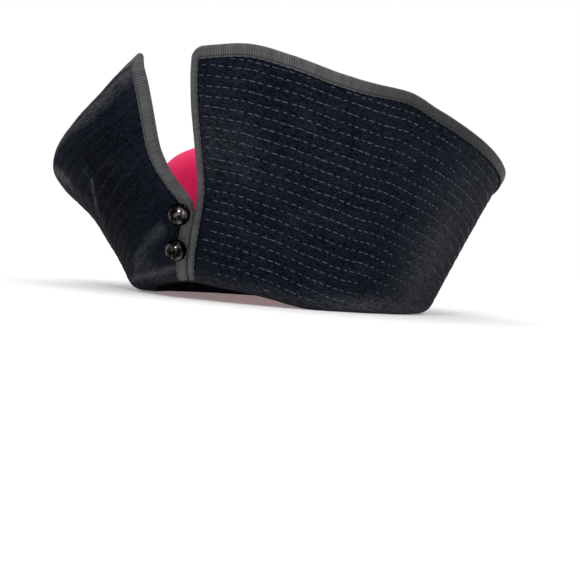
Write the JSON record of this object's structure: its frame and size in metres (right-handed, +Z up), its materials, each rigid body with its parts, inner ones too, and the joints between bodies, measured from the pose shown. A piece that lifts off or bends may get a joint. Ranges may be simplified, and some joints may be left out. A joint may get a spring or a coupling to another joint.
{
  "type": "cocktail hat",
  "caption": "Cocktail hat with a red felt crown inside a tall flared brim of quilted black velvet, split at the front, bound in grey ribbon and closed by ball buttons.",
  "frame": {"origin": "middle of the hat's bounding box, on the floor that its hem rests on", "axes": "+Z up, -Y towards the split front, +X towards the wearer's left"},
  "size_m": [0.2612, 0.2996, 0.1461],
  "materials": {
    "crown_felt": "matt wool felt",
    "brim_velvet": "quilted velvet with stitched rows",
    "binding_grosgrain": "ribbed grosgrain ribbon",
    "button_gloss": "polished"
  },
  "bodies": {
    "root": {"crown": "crown_felt", "brim": "brim_velvet", "edge_binding": "binding_grosgrain", "button_upper": "button_gloss", "button_lower": "button_gloss"}
  },
  "joints": []
}
